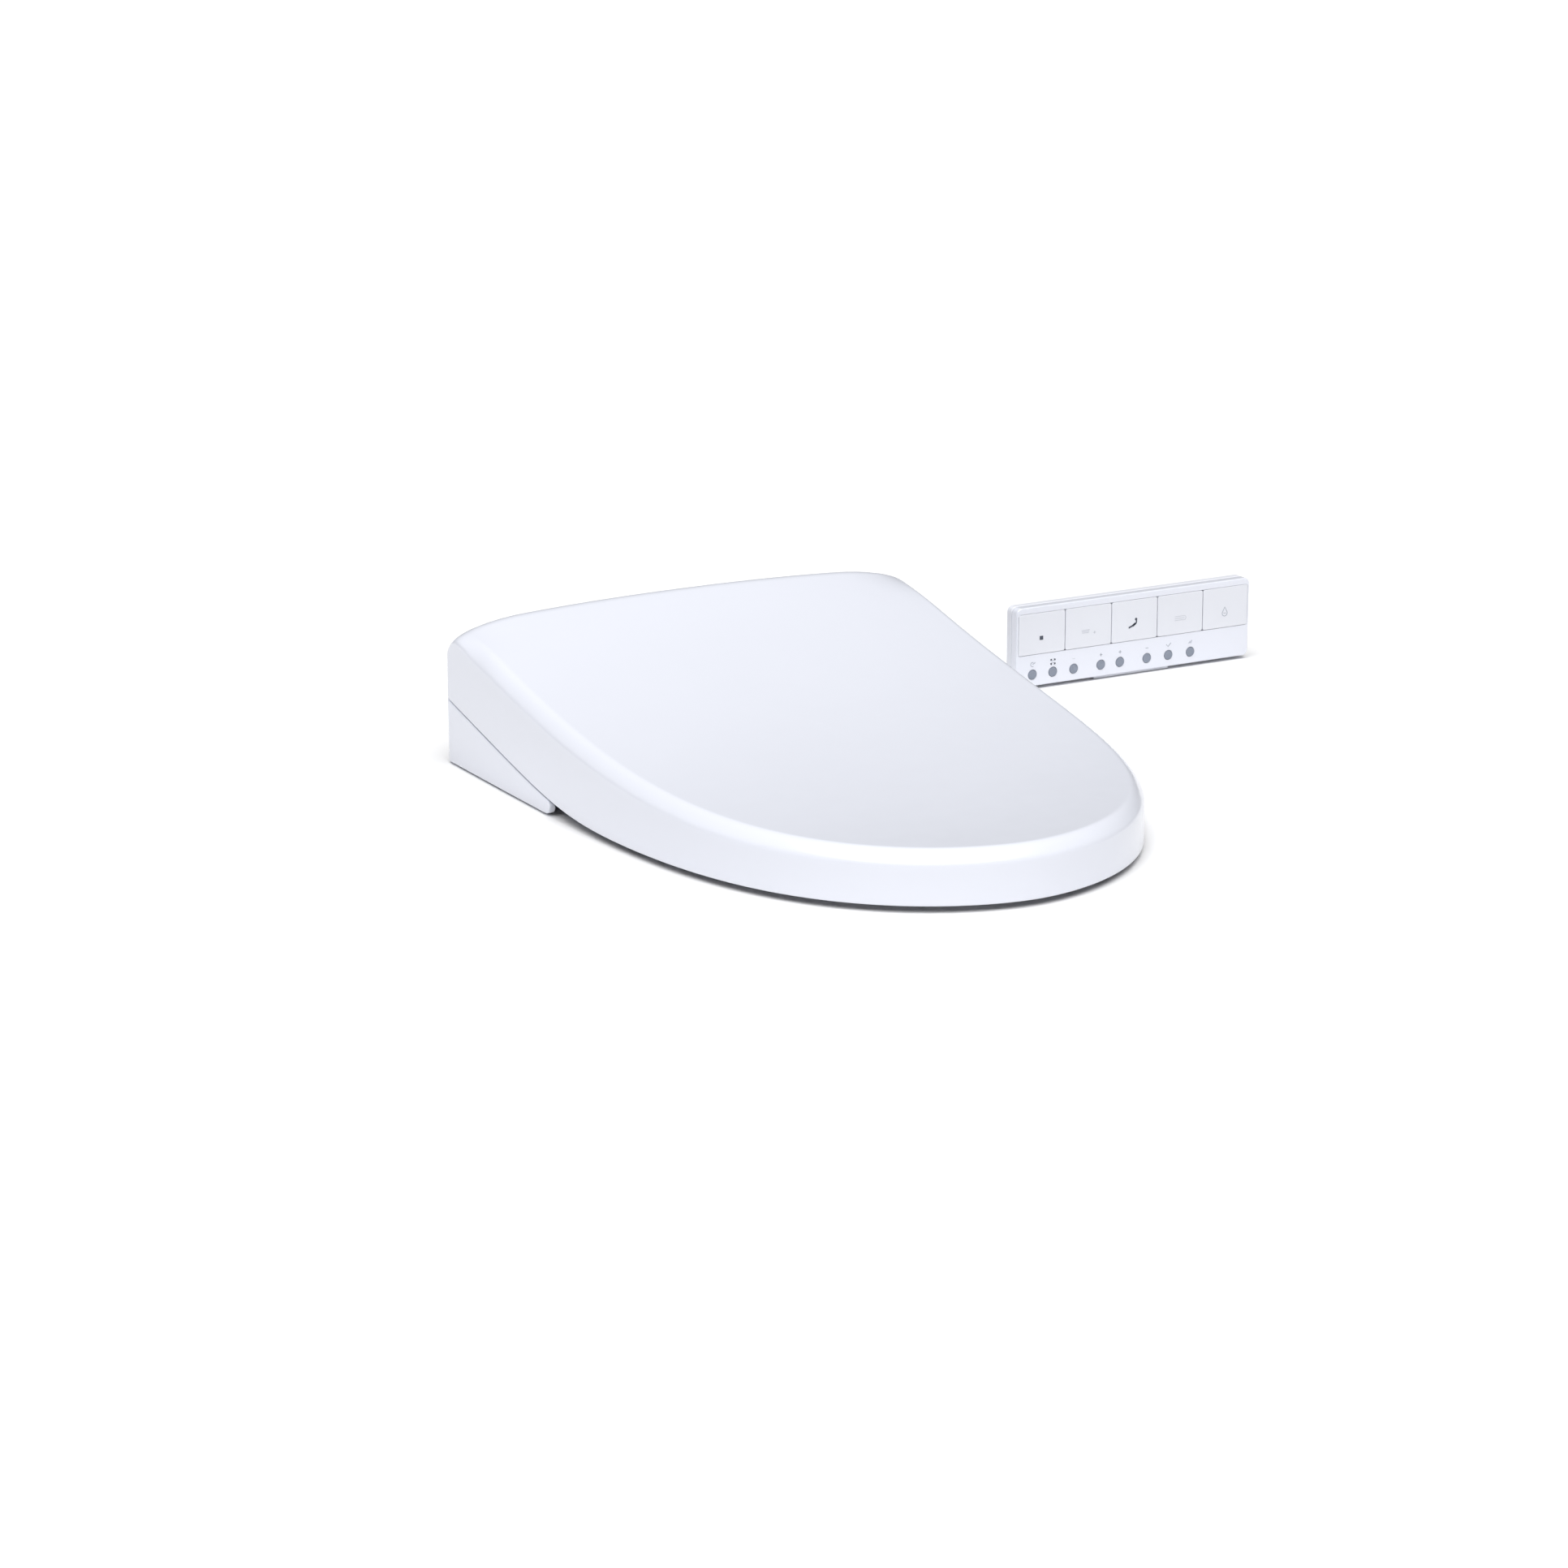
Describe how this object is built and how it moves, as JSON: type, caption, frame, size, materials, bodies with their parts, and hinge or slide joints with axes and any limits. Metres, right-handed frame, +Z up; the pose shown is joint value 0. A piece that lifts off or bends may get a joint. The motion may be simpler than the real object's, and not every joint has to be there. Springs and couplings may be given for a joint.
{
  "type": "electric bidet seat",
  "caption": "Electric bidet seat with a D-shaped lid, a heated seat ring, a washing and drying unit that slides onto a mounting plate, and a hand-held remote in its wall bracket.",
  "frame": {"origin": "midway between the two mounting-bolt slots, on the underside of the plate gasket, which lies on the rim of the toilet bowl", "axes": "+X to the right of a person facing the seat, -Y towards the front of the seat, +Z up"},
  "size_m": [0.6973, 0.532, 0.1126],
  "materials": {
    "gloss_white": "smooth high-gloss moulded plastic, slightly cool white",
    "satin_white": "fine-grained satin moulded plastic",
    "grey_plastic": "satin grey moulded plastic",
    "dark_plastic": "smooth dark plastic",
    "rubber": "soft matte pale rubber",
    "steel": "fine brushed steel",
    "brass": "machined brass",
    "board_green": "circuit board with solder mask",
    "heater_foil": "thin copper-coloured heater foil",
    "button_blue": "smooth grey-blue moulded plastic"
  },
  "bodies": {
    "mounting": {"mounting_plate": "satin_white", "plate_gasket": "rubber", "remote_wall_bracket": "satin_white"},
    "base": {"base_tray": "gloss_white", "main_casing": "gloss_white", "hinge_pin_left": "steel", "hinge_pin_right": "steel", "hinge_damper_left": "dark_plastic", "hinge_damper_right": "dark_plastic", "water_heater": "steel", "valve_block": "brass", "control_board": "board_green", "fan_housing": "grey_plastic", "dryer_duct": "grey_plastic", "deodorizer_cartridge": "grey_plastic", "nozzle_sleeve": "grey_plastic", "nozzle_wiper": "rubber", "nozzle_motor": "steel", "sensor_window": "dark_plastic", "status_panel": "dark_plastic", "power_inlet_gland": "dark_plastic", "water_inlet": "brass", "base_foot_left": "rubber", "base_foot_right": "rubber"},
    "seat": {"seat_upper_shell": "gloss_white", "seat_heater_foil": "heater_foil", "seat_lower_shell": "satin_white", "seat_bumper_back_left": "rubber", "seat_bumper_back_right": "rubber", "seat_bumper_front_left": "rubber", "seat_bumper_front_right": "rubber"},
    "lid": {"lid": "gloss_white", "lid_bumper_left": "rubber", "lid_bumper_right": "rubber"},
    "nozzle": {"nozzle_wand": "satin_white", "nozzle_tip": "steel"},
    "drive_roller": {"nozzle_drive_roller": "rubber"},
    "fan": {"fan_rotor": "dark_plastic"},
    "dryer_flap": {"dryer_flap": "satin_white"},
    "release_button": {"release_button": "grey_plastic"},
    "remote": {"remote_back_case": "satin_white", "remote_front_case": "gloss_white", "remote_board": "board_green"},
    "battery_cover": {"remote_battery_cover": "satin_white"},
    "remote_key_1": {"remote_key_1": "satin_white"},
    "remote_key_2": {"remote_key_2": "satin_white"},
    "remote_key_3": {"remote_key_3": "satin_white"},
    "remote_key_4": {"remote_key_4": "satin_white"},
    "remote_key_5": {"remote_key_5": "satin_white"},
    "remote_button_1": {"remote_button_1": "button_blue"},
    "remote_button_2": {"remote_button_2": "button_blue"},
    "remote_button_3": {"remote_button_3": "button_blue"},
    "remote_button_4": {"remote_button_4": "button_blue"},
    "remote_button_5": {"remote_button_5": "button_blue"},
    "remote_button_6": {"remote_button_6": "button_blue"},
    "remote_button_7": {"remote_button_7": "button_blue"},
    "remote_button_8": {"remote_button_8": "button_blue"}
  },
  "joints": [
    {"name": "base_release_slide", "type": "slide", "parent": "mounting", "child": "base", "axis": [0, -1, 0], "range_m": [0, 0.06]},
    {"name": "seat_hinge", "type": "hinge", "parent": "base", "child": "seat", "pos_m": [0, 0.038, 0.072], "axis": [1, 0, 0], "range_deg": [-90, 0]},
    {"name": "lid_hinge", "type": "hinge", "parent": "seat", "child": "lid", "pos_m": [0, 0.038, 0.072], "axis": [-1, 0, 0], "range_deg": [0, 100]},
    {"name": "nozzle_slide", "type": "slide", "parent": "base", "child": "nozzle", "axis": [0, -0.9903, -0.1392], "range_m": [0, 0.08]},
    {"name": "drive_roller_spin", "type": "hinge", "parent": "base", "child": "drive_roller", "pos_m": [0, -0.034, 0.04414], "axis": [-1, 0, 0], "range_deg": [0, 580]},
    {"name": "fan_spin", "type": "hinge", "parent": "base", "child": "fan", "pos_m": [0.1, -0.038, 0.03], "axis": [0, 0, 1], "continuous": true},
    {"name": "dryer_flap_hinge", "type": "hinge", "parent": "base", "child": "dryer_flap", "pos_m": [0.066, -0.1065, 0.0266], "axis": [-1, 0, 0], "range_deg": [0, 35]},
    {"name": "release_button_press", "type": "slide", "parent": "base", "child": "release_button", "axis": [-1, 0, 0], "range_m": [0, 0.0015], "stiffness_N_per_m": 600},
    {"name": "remote_lift_off", "type": "slide", "parent": "mounting", "child": "remote", "axis": [0, 0, 1], "range_m": [0, 0.05]},
    {"name": "battery_cover_off", "type": "slide", "parent": "remote", "child": "battery_cover", "axis": [0, 1, 0], "range_m": [0, 0.012]},
    {"name": "remote_key_1_press", "type": "slide", "parent": "remote", "child": "remote_key_1", "axis": [0, 1, 0], "range_m": [0, 0.001], "stiffness_N_per_m": 600},
    {"name": "remote_key_2_press", "type": "slide", "parent": "remote", "child": "remote_key_2", "axis": [0, 1, 0], "range_m": [0, 0.001], "stiffness_N_per_m": 600},
    {"name": "remote_key_3_press", "type": "slide", "parent": "remote", "child": "remote_key_3", "axis": [0, 1, 0], "range_m": [0, 0.001], "stiffness_N_per_m": 600},
    {"name": "remote_key_4_press", "type": "slide", "parent": "remote", "child": "remote_key_4", "axis": [0, 1, 0], "range_m": [0, 0.001], "stiffness_N_per_m": 600},
    {"name": "remote_key_5_press", "type": "slide", "parent": "remote", "child": "remote_key_5", "axis": [0, 1, 0], "range_m": [0, 0.001], "stiffness_N_per_m": 600},
    {"name": "remote_button_1_press", "type": "slide", "parent": "remote", "child": "remote_button_1", "axis": [0, 1, 0], "range_m": [0, 0.001], "stiffness_N_per_m": 300},
    {"name": "remote_button_2_press", "type": "slide", "parent": "remote", "child": "remote_button_2", "axis": [0, 1, 0], "range_m": [0, 0.001], "stiffness_N_per_m": 300},
    {"name": "remote_button_3_press", "type": "slide", "parent": "remote", "child": "remote_button_3", "axis": [0, 1, 0], "range_m": [0, 0.001], "stiffness_N_per_m": 300},
    {"name": "remote_button_4_press", "type": "slide", "parent": "remote", "child": "remote_button_4", "axis": [0, 1, 0], "range_m": [0, 0.001], "stiffness_N_per_m": 300},
    {"name": "remote_button_5_press", "type": "slide", "parent": "remote", "child": "remote_button_5", "axis": [0, 1, 0], "range_m": [0, 0.001], "stiffness_N_per_m": 300},
    {"name": "remote_button_6_press", "type": "slide", "parent": "remote", "child": "remote_button_6", "axis": [0, 1, 0], "range_m": [0, 0.001], "stiffness_N_per_m": 300},
    {"name": "remote_button_7_press", "type": "slide", "parent": "remote", "child": "remote_button_7", "axis": [0, 1, 0], "range_m": [0, 0.001], "stiffness_N_per_m": 300},
    {"name": "remote_button_8_press", "type": "slide", "parent": "remote", "child": "remote_button_8", "axis": [0, 1, 0], "range_m": [0, 0.001], "stiffness_N_per_m": 300}
  ],
  "couplings": [
    {"joint": "drive_roller_spin", "follows": "nozzle_slide", "rad_per_m": 125}
  ]
}
